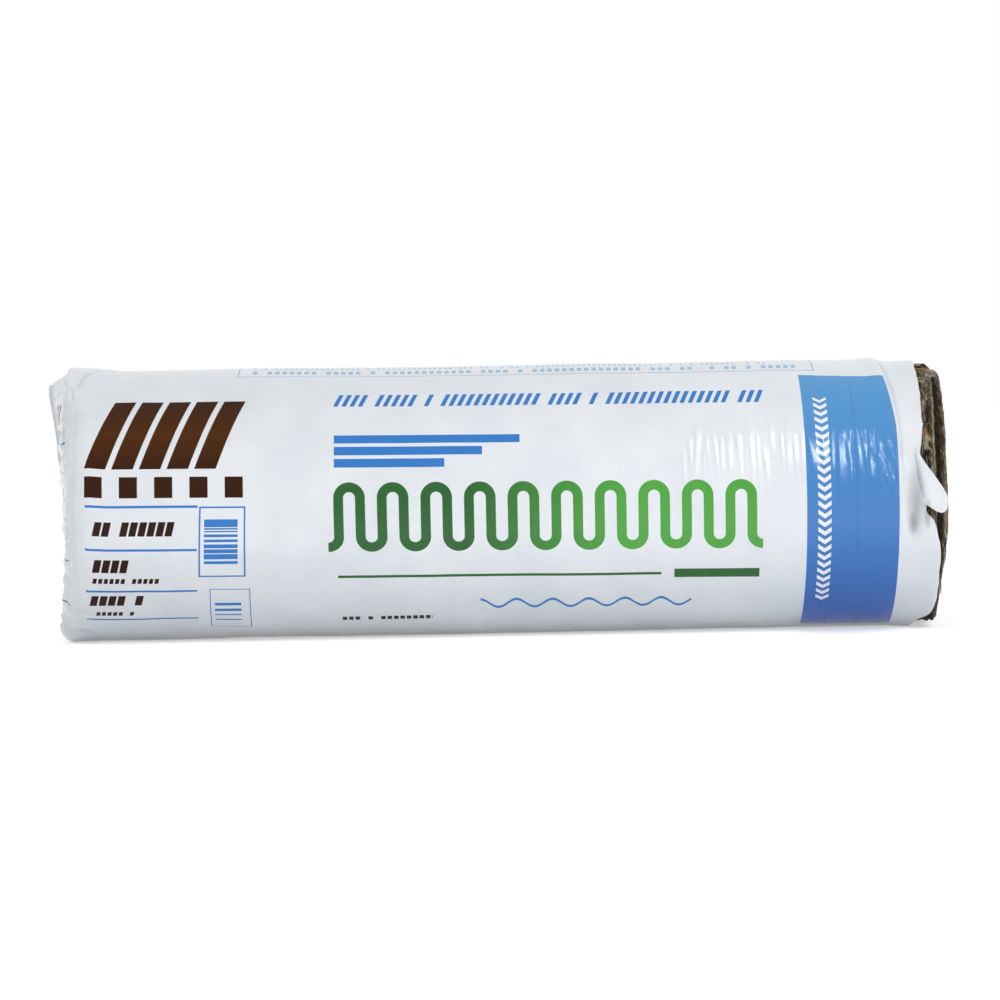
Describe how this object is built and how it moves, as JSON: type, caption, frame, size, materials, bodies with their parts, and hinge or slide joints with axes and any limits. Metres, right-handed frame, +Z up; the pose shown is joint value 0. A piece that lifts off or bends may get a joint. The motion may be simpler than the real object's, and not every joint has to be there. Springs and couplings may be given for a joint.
{
  "type": "wrapped pack of insulation batts",
  "caption": "Pack of squeezed glass-wool batts standing on edge in a printed white plastic film bag, tucked shut at one end and torn open at the other",
  "frame": {"origin": "Middle of the bottom of the bounding box, on the floor under the pack", "axes": "+X along the batts from the closed end of the bag to its open end, +Z up, and the printed front of the bag looks along -Y"},
  "size_m": [1.2203, 0.5027, 0.3678],
  "materials": {
    "film": "thin white polyethylene film, softly glossy and wrinkled, with blue, brown and green print",
    "glass_wool": "dark brown glass wool, matted fibres with lighter flecks",
    "kraft": "brown kraft paper, matt"
  },
  "bodies": {
    "root": {"film_bag": "film", "batt_1": "glass_wool", "batt_2": "glass_wool", "batt_3": "glass_wool", "batt_4": "glass_wool", "batt_5": "glass_wool", "batt_6": "glass_wool", "batt_7": "glass_wool", "batt_8": "glass_wool", "kraft_facing_1": "kraft", "kraft_facing_2": "kraft", "kraft_facing_3": "kraft", "kraft_facing_4": "kraft", "kraft_facing_5": "kraft", "kraft_facing_6": "kraft", "kraft_facing_7": "kraft", "kraft_facing_8": "kraft"}
  },
  "joints": []
}
